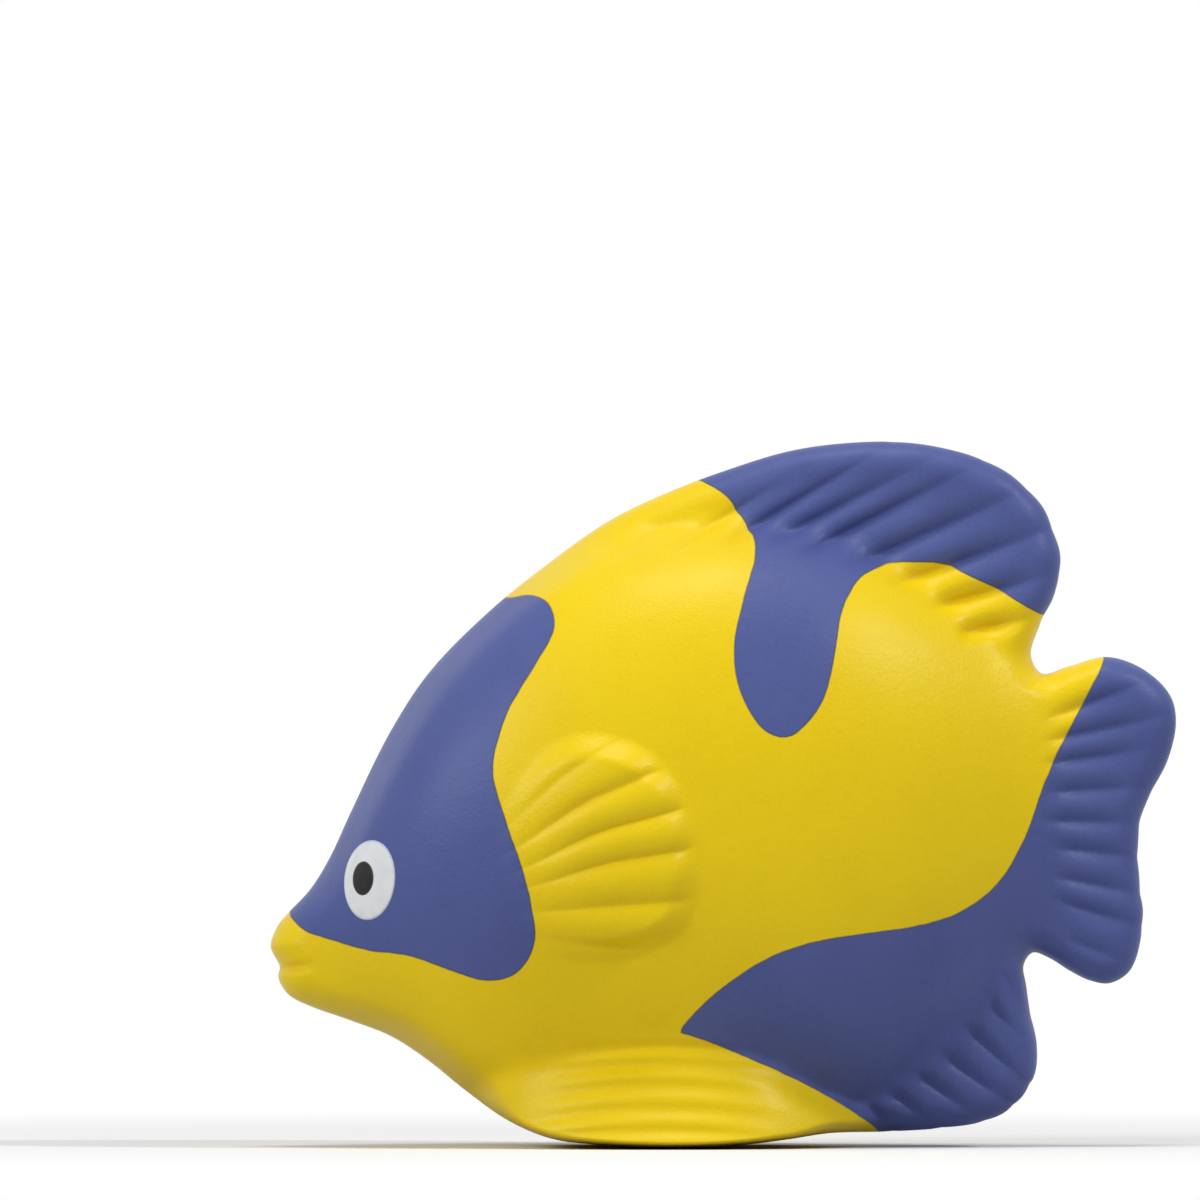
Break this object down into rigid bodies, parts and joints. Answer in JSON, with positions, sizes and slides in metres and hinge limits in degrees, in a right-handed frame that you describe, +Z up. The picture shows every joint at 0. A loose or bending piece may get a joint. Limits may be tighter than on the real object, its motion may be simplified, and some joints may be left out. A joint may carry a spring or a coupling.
{
  "type": "fish stress ball",
  "caption": "Squeezable foam fish with a deep rounded body, ribbed bending fins and painted face mask, saddle and tail; it stands on its pelvic fins.",
  "frame": {"origin": "on the floor under the middle of the overall box", "axes": "+X towards the tail, +Y towards the right flank, +Z up"},
  "size_m": [0.11, 0.0474, 0.0856],
  "materials": {
    "yellow_coat": "matte soft-touch paint on foam",
    "blue_coat": "matte soft-touch paint on foam",
    "eye_white": "satin print",
    "eye_black": "satin print",
    "bare_foam": "bare polyurethane foam"
  },
  "bodies": {
    "trunk": {"head": "yellow_coat", "back": "yellow_coat", "rump": "yellow_coat", "belly": "yellow_coat", "foam_core": "bare_foam", "face_mask": "blue_coat", "upper_lip": "yellow_coat", "lower_lip": "yellow_coat", "left_pelvic_fin": "yellow_coat", "right_pelvic_fin": "yellow_coat", "left_saddle": "blue_coat", "right_saddle": "blue_coat", "left_vent_patch": "blue_coat", "right_vent_patch": "blue_coat", "left_eye_white": "eye_white", "right_eye_white": "eye_white", "left_pupil": "eye_black", "right_pupil": "eye_black", "dorsal_fin_root": "blue_coat", "tail_fin_root": "yellow_coat", "anal_fin_root": "blue_coat"},
    "left_side": {"left_flank": "yellow_coat", "left_pectoral_fin": "yellow_coat"},
    "right_side": {"right_flank": "yellow_coat", "right_pectoral_fin": "yellow_coat"},
    "dorsal": {"dorsal_fin": "blue_coat"},
    "tail": {"tail_fin": "blue_coat"},
    "anal": {"anal_fin": "blue_coat"}
  },
  "joints": [
    {"name": "left_squeeze", "type": "slide", "parent": "trunk", "child": "left_side", "axis": [0, 1, 0], "range_m": [0, 0.006], "stiffness_N_per_m": 2000, "deforming": ["foam_core"]},
    {"name": "right_squeeze", "type": "slide", "parent": "trunk", "child": "right_side", "axis": [0, -1, 0], "range_m": [0, 0.006], "stiffness_N_per_m": 2000, "deforming": ["foam_core"]},
    {"name": "tail_bend", "type": "hinge", "parent": "trunk", "child": "tail", "pos_m": [0.0395, 0, 0.04], "axis": [0, 0, 1], "range_deg": [-25, 25], "stiffness_Nm_per_rad": 0.06, "deforming": ["tail_fin_root"]},
    {"name": "dorsal_bend", "type": "hinge", "parent": "trunk", "child": "dorsal", "pos_m": [0.01131, 0, 0.07031], "axis": [0.9732, 0, -0.23], "range_deg": [-18, 18], "stiffness_Nm_per_rad": 0.08, "deforming": ["dorsal_fin_root"]},
    {"name": "anal_bend", "type": "hinge", "parent": "trunk", "child": "anal", "pos_m": [0.02606, 0, 0.01089], "axis": [0.7368, 0, 0.6762], "range_deg": [-18, 18], "stiffness_Nm_per_rad": 0.04, "deforming": ["anal_fin_root"]}
  ]
}
